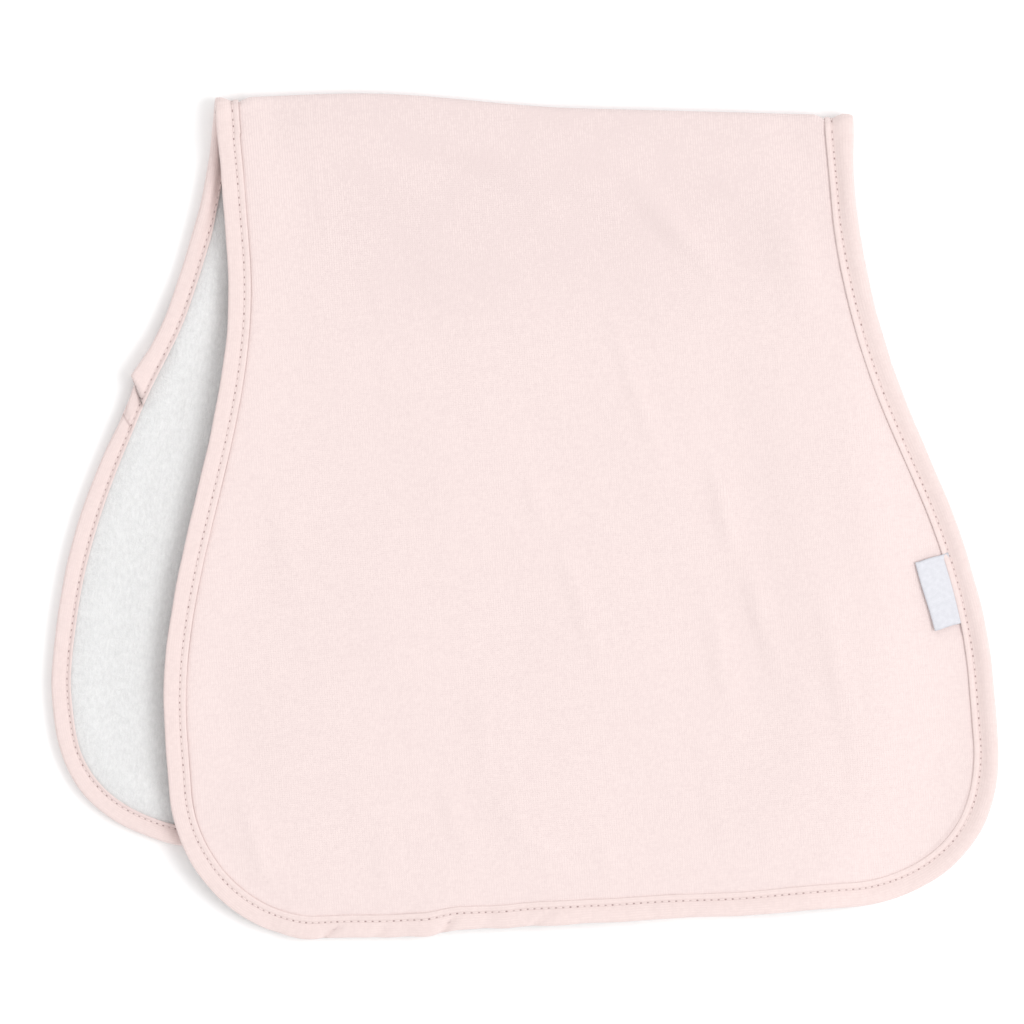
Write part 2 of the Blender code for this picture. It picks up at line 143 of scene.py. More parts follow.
# The lower half's left edge rolls in below the fold; distances from the fold
ROLL_START = -4.0
ROLL_FULL = -16.0
ROLL_FADE = -38.0
ROLL_END = -64.0
ROLL_IN = 1.45
ROLL_UP = 0.45
ROLL_PLUMP = 0.95
BACK_RIM_SHARE = 0.45

# The strip bulges where it turns round the fold's right end
FOLD_CORNER = 1.3
FOLD_CORNER_REACH = 17.0

# Label, tucked in on the upper half's right edge
LABEL_PLACE = 155.0
LABEL_LENGTH = 21.3
LABEL_MIDDLE = (155.7, 105.5)
LABEL_TURN = math.radians(11.9)
LABEL_THICK = 0.28
LABEL_STEPS = 28
LABEL_DEPTH = 10.6
LABEL_PATH = [
    (10.6, 1.42), (9.4, 1.42), (8.0, 1.38), (6.0, 1.36), (3.4, 1.38), (1.5, 1.45), (0.6, 1.55),
    (0.25, 1.66), (0.14, 1.80), (0.25, 1.95), (0.6, 2.06), (1.5, 2.14), (3.4, 2.14), (6.0, 2.06),
    (8.0, 1.92), (9.4, 1.78), (10.6, 1.72),
]
LABEL_CORNER_LIFT = 0.5
OVER_LABEL = 0.45
EDGE_PRESS = 0.10
EDGE_CLOSE = 0.34
OVER_LABEL_REACH = 3.0

# Stitches: one row on each leaf of the binding
STITCH_PITCH = 2.12
STITCH_GAP = 0.32
BACK_WIDTH_SHARE = 0.93
WIDTH_LEAN = 0.06
THREAD_RADIUS = 0.15
THREAD_SINK = 0.16
THREAD_PROUD = 0.06
THREAD_SIDES = 6

# Mesh
ROWS_IN_HALF_BEND = 10
ROWS_AFTER_BEND = (6.0, 7.0, 8.0, 9.2, 10.6, 12.2, 14.0, 16.0, 18.2, 20.6)
UPPER_ROW_STEP = 2.6
LOWER_ROW_STEP = 3.0
COLUMNS = 84
RIM_INSET = 1.4
RING_INSETS = (10.4, 9.0, 8.2, 7.7, 7.35, 7.1, 6.85, 6.5, 5.6, 4.6, 3.5, 2.4)
HELD_INSET = 7.3
GRID_INSET = 12.5
UNEVEN_INSET = GRID_INSET / 2.0
END_BOW_REACH = 60.0
BINDING_STEP = 1.1
SLOPE_STEP = 0.05
TABLE_SNAP = 0.004

# Soft creases of the upper half: ends as distances along and away from the fold
CREASE_FADE = 1.3
CREASES = [
    dict(start=(28, 19), end=(57, 47), rise=1.5, width=6.0),
    dict(start=(-45, 14), end=(-8, 23), rise=-1.2, width=8.0),
    dict(start=(3, 19), end=(24, 35), rise=-0.4, width=8.0),
    dict(start=(52, 10), end=(67, 28), rise=0.6, width=9.0),
    dict(start=(74, 25), end=(91, 67), rise=0.9, width=11.0),
    dict(start=(-66, 13), end=(-59, 45), rise=0.35, width=2.4),
    dict(start=(24, 58), end=(43, 108), rise=0.6, width=3.6),
    dict(start=(58, 107), end=(64, 132), rise=1.1, width=3.4),
    dict(start=(68, 134), end=(79, 169), rise=1.2, width=4.0),
    dict(start=(57, 143), end=(65, 181), rise=0.9, width=4.5),
    dict(start=(90, 139), end=(104, 197), rise=0.9, width=4.5),
    dict(start=(2, 106), end=(7, 128), rise=0.65, width=3.2),
    dict(start=(11, 126), end=(27, 170), rise=0.8, width=4.0),
    dict(start=(-76, 112), end=(-66, 148), rise=0.35, width=4.0),
    dict(start=(-10, 175), end=(-8, 203), rise=0.4, width=3.6),
    dict(start=(56, 185), end=(66, 229), rise=0.35, width=4.5),
    dict(start=(121, 170), end=(121, 214), rise=0.6, width=5.0),
    dict(start=(-81, 206), end=(-73, 236), rise=0.75, width=4.0),
    dict(start=(-39, 217), end=(-36, 238), rise=0.5, width=3.6),
    dict(start=(-22, 202), end=(-13, 225), rise=0.8, width=3.4),
    dict(start=(-7, 206), end=(17, 231), rise=0.7, width=6.5),
    dict(start=(28, 219), end=(31, 232), rise=0.45, width=3.8),
    dict(start=(-67, 204), end=(-35, 200), rise=-0.6, width=7.0),
]

# Puckers that the binding pulls into the upper half's end, by their place along the fold
PUCKERS = [
    dict(place=-62.0, width=9.0, lift=1.2, out=0.9),
    dict(place=-25.0, width=7.0, lift=0.9, out=0.5),
    dict(place=-7.0, width=6.0, lift=-0.6, out=-0.4),
    dict(place=14.0, width=10.0, lift=0.6, out=0.3),
]
PUCKER_REACH = 16.0


# Stray surface of the upper half beyond its creases: length of each wave, its direction and its height
SWELLS = [
    dict(length=61.0, degrees=24.0, height=0.16, phase=0.4),
    dict(length=43.0, degrees=-38.0, height=0.12, phase=2.1),
    dict(length=29.0, degrees=71.0, height=0.07, phase=4.0),
    dict(length=21.0, degrees=-12.0, height=0.05, phase=1.2),
]

# The binding's outer surface on one leaf, from its inner edge to its outer one. Columns: inset from
# the outer edge, and distance from the seam plane where the binding is pressed flat and where it is plump
LEAF_PROFILE = [
    (6.96, 1.30, 1.28),
    (7.02, 1.50, 1.44),
    (6.98, 1.74, 1.62),
    (6.80, 1.88, 1.75),
    (6.40, 1.94, 1.84),
    (5.90, 1.93, 1.80),
    (5.45, 1.84, 1.56),
    (5.05, 1.72, 1.40),
    (4.65, 1.84, 1.50),
    (4.10, 1.98, 1.88),
    (3.40, 2.08, 2.42),
    (2.50, 2.14, 2.92),
    (1.60, 2.18, 3.02),
    (0.85, 2.18, 2.94),
    (0.38, 2.14, 2.68),
    (0.12, 1.94, 2.10),
    (0.02, 1.20, 1.20),
]
STITCH_PLACE = 7
LEAF_LINING = [(1.10, 0.90), (1.30, 1.20), (3.00, 1.30), (4.80, 1.22), (6.40, 1.18)]

# Pleats across the binding of the upper half: place of the inner end, run to the outer end, depth
PLEATS = [
    dict(place=-46.5, slant=-1.45, width=2.2, depth=1.00),
    dict(place=-35.0, slant=-0.80, width=3.0, depth=0.60),
    dict(place=-13.6, slant=-1.10, width=2.6, depth=0.90),
    dict(place=16.8, slant=-1.49, width=2.6, depth=0.60),
    dict(place=38.0, slant=0.80, width=2.0, depth=0.26),
    dict(place=61.0, slant=-1.10, width=1.8, depth=0.30),
    dict(place=-76.0, slant=0.90, width=2.2, depth=0.28),
]
PLEAT_START = 0.27
PLEAT_RAMP = 0.33


# Camera and light, in metres; the view's width is the photo's at 0.30 mm a pixel
SENSOR = 36.0
CAMERA_HEIGHT = 8.0
SHARP_HEIGHT = 0.005
VIEW_WIDTH = 0.3072
CAMERA_OVER = (-0.0052, 0.0031)
CAMERA_TURN = math.radians(1.5)
SURROUND = 0.97
LIGHT_PLACE = (2.05, -0.15, 2.9)
LIGHT_SIZE = 2.0
LIGHT_POWER = 54.0
FLOOR_SIZE = 4.0


def smooth(value):
    """0 below 0, 1 above 1, and an S between them."""
    value = np.clip(value, 0.0, 1.0)
    return value * value * (3.0 - 2.0 * value)


def hump(value):
    """A soft hump: 1 at 0, 0 from 1 outwards."""
    return 1.0 - smooth(np.abs(value))


def half_width(s):
    """Half the cloth's width at a distance from the fold: a waist that flares to both ends."""
    from_middle = np.abs(s - FOLD_OFFSET)
    share = np.clip((from_middle - FLARE_START) / (FLARE_END - FLARE_START), 0.0, 1.0)
    wide = np.where(s > FOLD_OFFSET, UPPER_HALF_WIDTH, LOWER_HALF_WIDTH)
    return WAIST_HALF_WIDTH + (wide - WAIST_HALF_WIDTH) * (1.0 - np.cos(math.pi * share)) / 2.0


def tilt_at(s, t):
    """How much the upper half's end runs out of square: its right side is a little longer."""
    return END_TILT * t * smooth(s / HALF_LENGTH)


def inset_of(s, t):
    """How far a point of the flat cloth lies inside its outline, negative outside."""
    s = s - tilt_at(s, t)
    from_middle = np.abs(s - FOLD_OFFSET)
    width = half_width(s)
    slope = (half_width(s + 1.0) - half_width(s - 1.0)) / 2.0
    to_side = (width - np.abs(t)) / np.sqrt(1.0 + slope**2)
    to_end = HALF_LENGTH - from_middle
    past_s = from_middle - (HALF_LENGTH - CORNER_RADIUS)
    past_t = np.abs(t) - (width - CORNER_RADIUS)
    in_corner = CORNER_RADIUS - np.hypot(np.maximum(past_s, 0.0), np.maximum(past_t, 0.0))
    return np.where((past_s > 0) & (past_t > 0), in_corner, np.minimum(to_side, to_end))


def along_and_away(s, t):
    """Distances along the fold and away from it, the second positive on the upper half."""
    along = s * math.sin(SKEW) + t * math.cos(SKEW)
    away = s * math.cos(SKEW) - t * math.sin(SKEW)
    return along, away


def outside_lower_half(along, away):
    """How far a point of the upper half lies past the lower half's outline in plan."""
    s = away * math.cos(SKEW) - along * math.sin(SKEW)
    t = along * math.cos(SKEW) + away * math.sin(SKEW)
    return -inset_of(-s, t)


def creases_at(along, away):
    """Height that the soft creases add to the upper half."""
    height = np.zeros_like(along)
    for crease in CREASES:
        start = np.array(crease["start"], float)
        way = np.array(crease["end"], float) - start
        length = np.linalg.norm(way)
        run = ((along - start[0]) * way[0] + (away - start[1]) * way[1]) / length
        side = ((along - start[0]) * way[1] - (away - start[1]) * way[0]) / length
        fade = hump((2.0 * run / length - 1.0) / CREASE_FADE)
        height += crease["rise"] * fade * hump(side / crease["width"])
    return height


def puckers_at(s, along, key):
    """Lift or outward pull of the puckers along the upper half's end."""
    near_end = smooth((PUCKER_REACH - (HALF_LENGTH + FOLD_OFFSET - s)) / PUCKER_REACH)
    total = np.zeros_like(s)
    for pucker in PUCKERS:
        total += pucker[key] * hump((along - pucker["place"]) / pucker["width"])
    return total * near_end


def at_edge(inset, reach):
    """1 where the binding holds the edge, falling to 0 at the reach."""
    return smooth((reach - inset) / (reach - HELD_INSET))


def lower_height(s, t, inset):
    """Seam plane of the lower half: flat, raised by the binding at its edge and at the lap."""
    edge = at_edge(inset, EDGE_RISE_REACH)
    lap_middle = -(LAP_START + LAP_LENGTH / 2.0)
    lap = smooth((2.0 * LAP_REACH - np.abs(s - lap_middle)) / LAP_REACH) * (t < 0)
    return FLAT_HEIGHT + (EDGE_HEIGHT - FLAT_HEIGHT + LAP_LIFT * lap) * edge


def upper_height(s, t, along, away, inset):
    """Seam plane of the upper half: over the lower one, over its binding, then down to the surface."""
    outside = outside_lower_half(along, away)
    climb = smooth((outside - CLIMB_START) / CLIMB_LENGTH)
    droop = smooth((outside - DROOP_START) / DROOP_LENGTH)
    height = STACK_HEIGHT + (OVER_BINDING_HEIGHT - STACK_HEIGHT) * climb
    height += (EDGE_HEIGHT - OVER_BINDING_HEIGHT) * droop
    lift = LEFT_EDGE_LIFT * smooth((LEFT_EDGE_REACH - inset) / LEFT_EDGE_REACH)
    height += lift * (t < 0) * (1.0 - climb)
    uneven = creases_at(along, away) * smooth((inset - UNEVEN_INSET) / GRID_INSET)
    return height + (uneven + puckers_at(s, along, "lift")) * (1.0 - droop)


def seam_plane(s, t):
    """The folded cloth's w = 0 surface, as an array of points."""
    along, away = along_and_away(s, t)
    inset = inset_of(s, t)
    pressed = at_edge(inset, EDGE_BEND_REACH)
    depth = BEND_DEPTH + (EDGE_BEND_DEPTH - BEND_DEPTH) * pressed
    rise = BEND_RISE + (EDGE_BEND_RISE - BEND_RISE) * pressed
    thick = FACE_OUT + (LEAF_OUT - FACE_OUT) * at_edge(inset, EDGE_TUCK_REACH)
    run = np.maximum(np.abs(away) - depth, 0.0)
    turn = np.clip(away / depth, -1.0, 1.0) * math.pi / 2.0
    bulge = hump((along - BULGE_MIDDLE) / BULGE_HALF_LENGTH)
    reach = np.where(away > 0, UPPER_BULGE_REACH, BULGE_REACH)
    pulled = BULGE_OUT * bulge * (1.0 - smooth(run / reach))
    tucked = thick * (1.0 - smooth(run / TUCK_REACH))
    outward = np.where(run > 0, np.abs(away), depth * (1.0 - np.cos(turn))) + tucked - pulled
    outward += puckers_at(s, along, "out")
    low = lower_height(s, t, inset)
    top = low + rise
    sunk = smooth(run / BULGE_REACH)
    high = top + (upper_height(s, t, along, np.abs(away), inset) - top) * sunk
    crest = FOLD_SINK * smooth(away / 4.0) * (1.0 - smooth(away / FOLD_SINK_REACH))
    in_bend = low + rise * (1.0 + np.sin(turn)) / 2.0
    height = np.where(run > 0, np.where(away > 0, high, low), in_bend)
    return np.stack([along, -outward, height - crest], axis=-1)


def lay(s, t, w):
    """Points of the folded cloth from points of the flat one."""
    s, t, w = np.broadcast_arrays(*(np.asarray(value, float) for value in (s, t, w)))
    along_s = seam_plane(s + SLOPE_STEP, t) - seam_plane(s - SLOPE_STEP, t)
    along_t = seam_plane(s, t + SLOPE_STEP) - seam_plane(s, t - SLOPE_STEP)
    normal = np.cross(along_t, along_s)
    normal /= -np.linalg.norm(normal, axis=-1, keepdims=True)
    points = seam_plane(s, t) + w[..., None] * normal
    points[points[..., 2] < TABLE_SNAP, 2] = 0.0
    return points


class Outline:
    """The flat cloth's outline, by arc length from the fold's right end round the upper half."""

    def __init__(self):
        upper, lower = HALF_LENGTH + FOLD_OFFSET, FOLD_OFFSET - HALF_LENGTH
        centres = {
            "upper_right": (upper - CORNER_RADIUS, UPPER_HALF_WIDTH - CORNER_RADIUS),
            "upper_left": (upper - CORNER_RADIUS, CORNER_RADIUS - UPPER_HALF_WIDTH),
            "lower_left": (lower + CORNER_RADIUS, CORNER_RADIUS - LOWER_HALF_WIDTH),
            "lower_right": (lower + CORNER_RADIUS, LOWER_HALF_WIDTH - CORNER_RADIUS),
        }
        right = np.arange(centres["lower_right"][0], centres["upper_right"][0], OUTLINE_STEP)
        left = np.arange(centres["lower_left"][0], centres["upper_left"][0], OUTLINE_STEP)[::-1]
        parts = [
            np.stack([right, half_width(right)], axis=1),
            self.corner(centres["upper_right"], 90.0),
            self.end(upper, centres["upper_right"][1], centres["upper_left"][1]),
            self.corner(centres["upper_left"], 0.0),
            np.stack([left, -half_width(left)], axis=1),
            self.corner(centres["lower_left"], -90.0),
            self.end(lower, centres["lower_left"][1], centres["lower_right"][1]),
            self.corner(centres["lower_right"], 180.0),
        ]
        points = np.concatenate(parts)
        points[:, 0] += tilt_at(*points.T)
        first = np.argmax(along_and_away(*points.T)[1][: len(right)] >= 0.0)
        points = np.roll(points, -first, axis=0)
        self.points = np.concatenate([points, points[:1]])
        steps = np.linalg.norm(np.diff(self.points, axis=0), axis=1)
        self.arcs = np.concatenate([[0.0], np.cumsum(steps)])
        self.length = self.arcs[-1]
        ways = np.roll(points, -1, axis=0) - np.roll(points, 1, axis=0)
        inward = np.stack([-ways[:, 1], ways[:, 0]], axis=1)
        inward *= -np.sign(inward[0] @ points[0])
        inward /= np.linalg.norm(inward, axis=1, keepdims=True)
        self.inward = np.concatenate([inward, inward[:1]])
        self.shifts = np.zeros(len(self.points))
        for shift in EDGE_SHIFTS:
            apart = np.linalg.norm(self.points - shift["place"], axis=1)
            self.shifts += shift["inward"] * hump(apart / shift["reach"])
        self.corners = [self.arc_of_corner(s, t) for s, t in centres.values()]
        on_left = self.points[:, 1] < 0
        crossing = np.where(on_left, np.abs(along_and_away(*self.points.T)[1]), np.inf)
        self.fold_left = self.arcs[np.argmin(crossing)]

    @staticmethod
    def corner(centre, start_degrees):
        angles = np.radians(start_degrees - np.arange(0.0, 90.0, CORNER_STEP_DEGREES))
        return np.array(centre) + CORNER_RADIUS * np.stack([np.cos(angles), np.sin(angles)], axis=1)

    @staticmethod
    def end(s, t_from, t_to):
        across = np.linspace(t_from, t_to, int(abs(t_to - t_from) / OUTLINE_STEP), endpoint=False)
        return np.stack([np.full_like(across, s), across], axis=1)

    def arc_of_corner(self, s, t):
        """Arc length at the middle of the round corner about (s, t)."""
        aim = np.array([s - FOLD_OFFSET, t])
        aim = np.array([s, t]) + CORNER_RADIUS * np.sign(aim) / math.sqrt(2.0)
        return self.arcs[np.argmin(np.linalg.norm(self.points - aim, axis=1))]

    def arc_at(self, s, right):
        """Arc length where the right or left side passes a distance from the fold."""
        side = (self.points[:, 1] > 0) == right
        return self.arcs[np.argmin(np.where(side, np.abs(self.points[:, 0] - s), np.inf))]

    def at(self, arc, inset):
        """Flat points at these arc lengths, moved in by the inset."""
        arc = np.mod(arc, self.length)
        point = [np.interp(arc, self.arcs, self.points[:, axis]) for axis in (0, 1)]
        inward = [np.interp(arc, self.arcs, self.inward[:, axis]) for axis in (0, 1)]
        shift = np.interp(arc, self.arcs, self.shifts)
        inset = inset + shift * (1.0 - smooth((inset - SHIFT_HELD) / SHIFT_FADE))
        return point[0] + inset * inward[0], point[1] + inset * inward[1]


def row_distances(reach, step):
    """Distances of the rows from the fold on one half, close together at the bend."""
    bend = [BEND_DEPTH * k / ROWS_IN_HALF_BEND for k in range(1, ROWS_IN_HALF_BEND + 1)]
    near = bend + list(ROWS_AFTER_BEND)
    rest = np.linspace(near[-1], reach, int((reach - near[-1]) / step) + 1)[1:]
    return np.array(near + list(rest))


def side_arcs(distances, length):
    """Arc lengths from the fold along one side: equal to the distances near the bend, stretched later."""
    straight = distances / math.cos(SKEW)
    return straight + (length - straight[-1]) * (distances / distances[-1]) ** 2


def stations(outline):
    """Arc lengths of the rows' ends on both sides and of the columns' ends on both ends."""
    corner_ur, corner_ul, corner_ll, corner_lr = outline.corners
    upper_right = corner_ur
    upper_left = outline.fold_left - corner_ul
    lower_left = corner_ll - outline.fold_left
    lower_right = outline.length - corner_lr
    upper = row_distances((upper_right + upper_left) / 2.0 * math.cos(SKEW), UPPER_ROW_STEP)
    lower = row_distances((lower_right + lower_left) / 2.0 * math.cos(SKEW), LOWER_ROW_STEP)
    right = np.concatenate([-side_arcs(lower, lower_right)[::-1], [0.0], side_arcs(upper, upper_right)])
    left = np.concatenate([side_arcs(lower, lower_left)[::-1], [0.0], -side_arcs(upper, upper_left)])
    upper_end = np.linspace(corner_ul, corner_ur, COLUMNS + 1)
    lower_end = np.linspace(corner_ll, corner_lr, COLUMNS + 1)
    return right, outline.fold_left + left, upper_end, lower_end


def all_round(right, left, upper_end, lower_end):
    """The stations in one loop, from the right end of the first row."""
    return np.concatenate([right, upper_end[-2::-1], left[-2::-1], lower_end[1:-1]])


def sheet_grid(outline):
    """Flat points of a sheet's grid, its border's indices in one loop, and their arc lengths."""
    right, left, upper_end, lower_end = stations(outline)
    share = np.linspace(0.0, 1.0, COLUMNS + 1)
    right_points = np.stack(outline.at(right, GRID_INSET), axis=1)
    left_points = np.stack(outline.at(left, GRID_INSET), axis=1)
    grid = left_points[:, None] * (1 - share)[None, :, None] + right_points[:, None] * share[None, :, None]
    for end_arcs, row in ((upper_end, -1), (lower_end, 0)):
        bow = np.stack(outline.at(end_arcs, GRID_INSET), axis=1) - grid[row]
        for index in range(len(grid)):
            away = abs(right[index] - right[row])
            grid[index] += bow * (max(0.0, 1.0 - away / END_BOW_REACH) ** 2)
    rows, columns = len(right), COLUMNS + 1
    index = np.arange(rows * columns).reshape(rows, columns)
    loop = np.concatenate([index[:, -1], index[-1, -2::-1], index[-2::-1, 0], index[0, 1:-1]])
    return grid, loop, all_round(right, left, upper_end, lower_end)


def waves(value, lengths, phases):
    """A sum of sines that never quite repeats, between -1 and 1."""
    parts = [np.sin(2.0 * math.pi * value / length + phase) for length, phase in zip(lengths, phases)]
    return sum(parts) / len(parts)


def swell(s, t):
    """Soft unevenness of a cloth that lies loose."""
    total = np.zeros_like(s)
    for wave in SWELLS:
        angle = math.radians(wave["degrees"])
        run = t * math.cos(angle) + s * math.sin(angle)
        bend = 4.0 * np.sin((s - t) / 37.0 + wave["phase"])
        total += wave["height"] * np.sin(2.0 * math.pi * (run + bend) / wave["length"] + wave["phase"])
    return total


def stitch_pull(s, t, inset):
    """Small puckers that the stitching draws into the cloth beside the binding."""
    run = np.arctan2(t, s - FOLD_OFFSET) * 150.0 + s * 0.35
    fade = np.exp(-np.maximum(inset - BINDING_WIDTH, 0.0) / 3.2) * smooth((inset - 4.0) / 3.0)
    return 0.11 * fade * waves(run, (4.7, 7.3, 11.9), (0.3, 1.9, 4.4))


def binding_edge(s, t, front=True):
    """Inset of the binding's inner edge: the strip is a little wider on the right than on the left."""
    lean = 1.0 + WIDTH_LEAN * np.clip(t / UPPER_HALF_WIDTH, -1.0, 1.0) * (s > 0)
    return LEAF_PROFILE[1][0] * np.where(front, lean, BACK_WIDTH_SHARE)


def face_top(s, t, inset):
    """Outer side of the jersey: it swells softly and dips where the binding's edge presses it."""
    beside = inset - binding_edge(s, t)
    pressed = EDGE_PRESS * hump(beside / 1.1)
    free = smooth(beside / 10.0) * smooth((np.abs(s) - 8.0) / 24.0)
    closed = EDGE_CLOSE * (1.0 - smooth(beside / 3.0)) * smooth((s - 195.0) / 30.0)
    return FACE_OUT + swell(s, t) * free + stitch_pull(s, t, inset) - pressed + closed


def face_under(s, t, inset):
    return np.full_like(s, FACE_IN)


def fleece_back(s, t, inset):
    """Pile side of the fleece, pressed thin under the binding."""
    full = smooth((inset - HELD_INSET) / (GRID_INSET - HELD_INSET))
    pile = 0.05 * waves(s + 0.3 * t, (9.1, 6.3), (0.2, 2.0)) + 0.05 * waves(t - 0.2 * s, (8.3, 5.9), (1.0, 3.0))
    return LINING_SEWN_OUT + (LINING_OUT - LINING_SEWN_OUT) * full + pile * full


def fleece_seam(s, t, inset):
    return np.full_like(s, LINING_IN)


def sheet(name, outline, near_w, far_w, shift):
    """A closed thin sheet between two functions of (s, t, inset), near_w under far_w."""
    grid, loop, arcs = sheet_grid(outline)
    rows, columns = grid.shape[:2]
    flat = [grid.reshape(-1, 2)]
    loops = [loop]
    for inset in RING_INSETS:
        loops.append(sum(len(part) for part in flat) + np.arange(len(arcs)))
        flat.append(np.stack(outline.at(arcs, inset), axis=1))
    s, t = np.concatenate(flat).T
    inset = inset_of(s, t)
    layers = [lay(s, t, w(s, t, inset)) for w in (near_w, far_w)]
    index = np.arange(rows * columns).reshape(rows, columns)
    corners = [index[:-1, :-1], index[:-1, 1:], index[1:, 1:], index[1:, :-1]]
    cells = [np.stack([corner.ravel() for corner in corners], axis=1)]
    for inner, outer in zip(loops, loops[1:]):
        cells.append(np.stack([inner, outer, np.roll(outer, -1), np.roll(inner, -1)], axis=1))
    cells = np.concatenate(cells)
    rim, after = loops[-1], np.roll(loops[-1], -1)
    count = len(s)
    faces = np.concatenate([
        cells[:, ::-1], cells + count, np.stack([rim, after, after + count, rim + count], axis=1)
    ])
    made = add_piece(name, np.concatenate(layers) - shift, faces.tolist())
    keep_flat(made, np.tile(t, 2), np.tile(s, 2), np.tile(inset - binding_edge(s, t), 2))
    return made


def add_piece(name, points, faces):
    """One named mesh object, from points in millimetres, with its faces turned outwards."""
    mesh = bpy.data.meshes.new(name)
    mesh.from_pydata((points * METRE).tolist(), [], faces)
    shape = bmesh.new()
    shape.from_mesh(mesh)
    bmesh.ops.recalc_face_normals(shape, faces=shape.faces[:])
    shape.to_mesh(mesh)
    shape.free()
    mesh.shade_smooth()
    made = bpy.data.objects.new(name, mesh)
    bpy.context.scene.collection.objects.link(made)
    return made


def keep_flat(piece, across, along, inset):
    """Keeps each corner's place on the flat cloth, in millimetres, for the piece's material."""
    values = np.stack([across, along, inset], axis=1).astype(np.float32)
    place = piece.data.attributes.new("flat", "FLOAT_VECTOR", "POINT")
    place.data.foreach_set("vector", values.ravel())


def edge_wander(arc):
    """How far the binding's outer edge strays, as no hand-guided edge is quite even."""
    return 0.16 * waves(arc, (17.0, 29.0, 41.0, 67.0), (0.0, 1.3, 2.9, 4.1))


def pleats_at(along, s, depth_share):
    """Depth of the pleats across the upper half's end binding; depth_share is 0 at its inner edge."""
    total = np.zeros_like(along)
    for pleat in PLEATS:
        middle = pleat["place"] + pleat["slant"] * BINDING_WIDTH * depth_share
        total += pleat["depth"] * hump((along - middle) / pleat["width"])
    near_end = smooth((s - (HALF_LENGTH + FOLD_OFFSET - 40.0)) / 20.0)
    return total * near_end * smooth((depth_share - PLEAT_START) / PLEAT_RAMP)


def over_label(outline, arc):
    """How much the binding rises over the label's root."""
    middle = outline.arc_at(LABEL_PLACE, right=True)
    past = np.abs(np.mod(arc, outline.length) - middle) - LABEL_LENGTH / 2.0
    return OVER_LABEL * smooth((OVER_LABEL_REACH - past) / OVER_LABEL_REACH)


def rolled_share(s, t):
    """1 where the lower half's left edge is rolled in, next to the fold."""
    begun = smooth((s - ROLL_START) / (ROLL_FULL - ROLL_START))
    return begun * smooth((s - ROLL_END) / (ROLL_FADE - ROLL_END)) * (t < 0)


def plump_share(s, t):
    """How plump the binding's roll is: flat along the left of the upper half, full along its right."""
    upper = smooth((t + 110.0) / 190.0) * (1.0 - 0.45 * smooth((s - 205.0) / 30.0))
    return np.where(s > 0, upper, 0.25 + ROLL_PLUMP * rolled_share(s, t))


def leaf(outline, arc, place, side):
    """Inset and w of the outer surface of the binding, with its roll, stitch dips and pleats.

    place counts the profile's points from its inner edge; side is 1 on the pink side, -1 on the other.
    """
    front = side > 0
    steps, flat, plump = np.array(LEAF_PROFILE).T
    count = np.arange(len(steps))
    step = np.interp(place, count, steps)
    s, t = outline.at(arc, step)
    share = binding_edge(s, t, front) / LEAF_PROFILE[1][0]
    inset = step * (1.0 + (share - 1.0) * smooth((step - 1.0) / 4.0))
    flat, plump = np.interp(place, count, flat), np.interp(place, count, plump)
    height = flat + (plump - flat) * plump_share(s, t)
    free = smooth(step / 1.5)
    height += 0.06 * waves(arc, (13.0, 23.0, 37.0), (2.0, 0.4, 3.1)) * free
    height += 0.05 * waves(arc, (2.9, 4.3, 6.1), (0.0, 1.0, 2.0)) * smooth((5.4 - step) / 1.5) * free
    along, _ = along_and_away(s, t)
    pleats = pleats_at(along, s, 1.0 - step / BINDING_WIDTH)
    raised = over_label(outline, arc) * smooth((step - 1.0) / 4.0)
    curled = np.maximum(rolled_share(s, t), BACK_RIM_SHARE) * smooth((step - 5.1) / 1.8)
    inset = inset - np.where(front, 0.0, ROLL_IN * curled)
    return inset, side * (height + np.where(front, raised - pleats, ROLL_UP * curled))


def lap_lift(outline, run):
    """How far the strip's end climbs over its start, run being the distance from that start."""
    return LAP_LIFT * smooth((run - outline.length + LAP_RAMP) / (LAP_RAMP - GAP))


def lap_slant(outline, run):
    """How far the lapped end's cut runs along the strip for each millimetre across it."""
    return LAP_SLANT * np.clip((run - outline.length) / LAP_LENGTH * 2.0 - 1.0, 0.0, 1.0)


def lap_tuck(run, inset):
    """How far the strip's start is drawn in under the end that lies over it."""
    runs, tucks = zip(*LAP_TUCK)
    return np.interp(run, runs, tucks) * (1.0 - smooth(inset / 5.0))


def lap_corner(outline, run, inset):
    """How far the lapped end's outer corner stands out."""
    to_end = outline.length + LAP_LENGTH - run
    return LAP_CORNER * np.clip(1.0 - to_end / LAP_CORNER_REACH, 0.0, 1.0) * (1.0 - smooth(inset / 5.0))


def fold_corner(outline, arc, inset):
    """How far the strip bulges out at the fold's right end, where arc is 0."""
    half = outline.length / 2.0
    beside = np.mod(arc + half, outline.length) - half
    return FOLD_CORNER * hump(beside / FOLD_CORNER_REACH) * (1.0 - smooth(inset / 5.0))


def lap_crease(run, inset):
    """A slanting crease below the lapped end."""
    beside = run - LAP_CREASE["run"] - LAP_CREASE["slant"] * inset
    return LAP_CREASE["depth"] * hump(beside / LAP_CREASE["width"])


